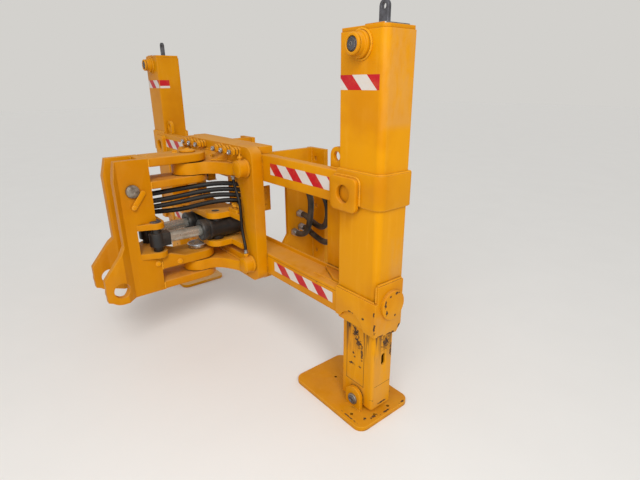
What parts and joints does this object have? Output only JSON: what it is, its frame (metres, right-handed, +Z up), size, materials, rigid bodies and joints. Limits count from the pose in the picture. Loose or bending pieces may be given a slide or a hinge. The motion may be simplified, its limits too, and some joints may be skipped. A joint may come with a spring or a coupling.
{
  "type": "side-shift backhoe frame with stabiliser legs",
  "caption": "Rear frame of a backhoe loader: two rails between upright stabiliser legs with pads, and a sliding carriage whose swing post is turned by hydraulic cylinders.",
  "frame": {"origin": "centre of the bolt pattern on the chassis side of the frame", "axes": "+X to the machine's right, +Y forward to the chassis, +Z up"},
  "size_m": [2.41, 1.136, 1.7439],
  "materials": {
    "yellow_paint": "sprayed yellow paint, dusty, chipped to dark metal at corners",
    "black_paint": "satin black paint on the cylinder barrels",
    "dusty_rod": "bare steel rods with a film of dust",
    "bare_steel": "greasy bare steel pins",
    "polished_pin": "polished steel pin heads",
    "wear_plastic": "black plastic wear pads",
    "dark_fittings": "dark pipe fittings and guard plates",
    "black_hose": "black rubber hydraulic hose"
  },
  "bodies": {
    "frame": {"upper_rail": "yellow_paint", "lower_rail": "yellow_paint", "leg_tube_right": "yellow_paint", "leg_tube_left": "yellow_paint", "tube_collars": "yellow_paint", "cheek_plates": "yellow_paint", "lashing_lugs": "yellow_paint", "lifting_eyes": "yellow_paint", "top_pins": "yellow_paint", "tube_caps": "yellow_paint", "corner_plates": "yellow_paint", "chassis_plates": "yellow_paint", "wear_pads": "wear_plastic", "frame_hose_1": "black_hose", "frame_hose_2": "black_hose", "frame_hose_3": "black_hose"},
    "leg_right": {"leg_right": "yellow_paint", "foot_pin_right": "bare_steel"},
    "leg_left": {"leg_left": "yellow_paint", "foot_pin_left": "bare_steel"},
    "pad_right": {"pad_right": "yellow_paint"},
    "pad_left": {"pad_left": "yellow_paint"},
    "carriage": {"carriage_frame": "yellow_paint", "clamp_cylinders": "yellow_paint", "jack_bolts": "yellow_paint", "trunnion_brackets": "yellow_paint", "trunnion_caps": "yellow_paint", "upper_tongue": "yellow_paint", "lower_tongue": "yellow_paint", "hose_bracket": "dark_fittings", "clamp_hose": "black_hose", "swing_hose_1": "black_hose", "swing_hose_2": "black_hose", "swing_hose_3": "black_hose", "swing_hose_4": "black_hose"},
    "swing_post": {"post_cheek_right": "yellow_paint", "post_cheek_left": "yellow_paint", "post_webs": "yellow_paint", "upper_ears": "yellow_paint", "lower_ears": "yellow_paint", "eye_lugs": "yellow_paint", "swing_pins": "polished_pin", "ram_cross_pin": "bare_steel"},
    "slew_barrel_right": {"slew_barrel_right": "black_paint"},
    "slew_barrel_left": {"slew_barrel_left": "black_paint"},
    "slew_rod_right": {"slew_rod_right": "dusty_rod"},
    "slew_rod_left": {"slew_rod_left": "dusty_rod"}
  },
  "joints": [
    {"name": "leg_right_slide", "type": "slide", "parent": "frame", "child": "leg_right", "axis": [0, 0, 1], "range_m": [-0.12, 0.28]},
    {"name": "leg_left_slide", "type": "slide", "parent": "frame", "child": "leg_left", "axis": [0, 0, 1], "range_m": [-0.12, 0.28]},
    {"name": "pad_right_tilt", "type": "hinge", "parent": "leg_right", "child": "pad_right", "pos_m": [1.06, -0.28, -0.7375], "axis": [0, 1, 0], "range_deg": [-10, 10]},
    {"name": "pad_left_tilt", "type": "hinge", "parent": "leg_left", "child": "pad_left", "pos_m": [-1.06, -0.28, -0.7375], "axis": [0, 1, 0], "range_deg": [-10, 10]},
    {"name": "side_shift", "type": "slide", "parent": "frame", "child": "carriage", "axis": [1, 0, 0], "range_m": [-0.41, 0.47]},
    {"name": "swing", "type": "hinge", "parent": "carriage", "child": "swing_post", "pos_m": [-0.03, -0.59, -0.1035], "axis": [0, 0, 1], "range_deg": [-90, 90], "deforming": ["swing_hose_1", "swing_hose_2", "swing_hose_3", "swing_hose_4"]},
    {"name": "barrel_right_turn", "type": "hinge", "parent": "carriage", "child": "slew_barrel_right", "pos_m": [0.07, -0.505, -0.1035], "axis": [0, 0, 1], "range_deg": [-46, 46]},
    {"name": "rod_right_slide", "type": "slide", "parent": "slew_barrel_right", "child": "slew_rod_right", "axis": [-0.0447, -0.999, 0], "range_m": [-0.145, 0.145]},
    {"name": "barrel_left_turn", "type": "hinge", "parent": "carriage", "child": "slew_barrel_left", "pos_m": [-0.13, -0.505, -0.1035], "axis": [0, 0, 1], "range_deg": [-46, 46]},
    {"name": "rod_left_slide", "type": "slide", "parent": "slew_barrel_left", "child": "slew_rod_left", "axis": [0.0447, -0.999, 0], "range_m": [-0.145, 0.145]}
  ],
  "couplings": [
    {"joint": "barrel_right_turn", "follows": "swing", "ratio": 0.5},
    {"joint": "rod_right_slide", "follows": "swing", "m_per_rad": -0.09},
    {"joint": "barrel_left_turn", "follows": "swing", "ratio": 0.5},
    {"joint": "rod_left_slide", "follows": "swing", "m_per_rad": 0.09}
  ]
}
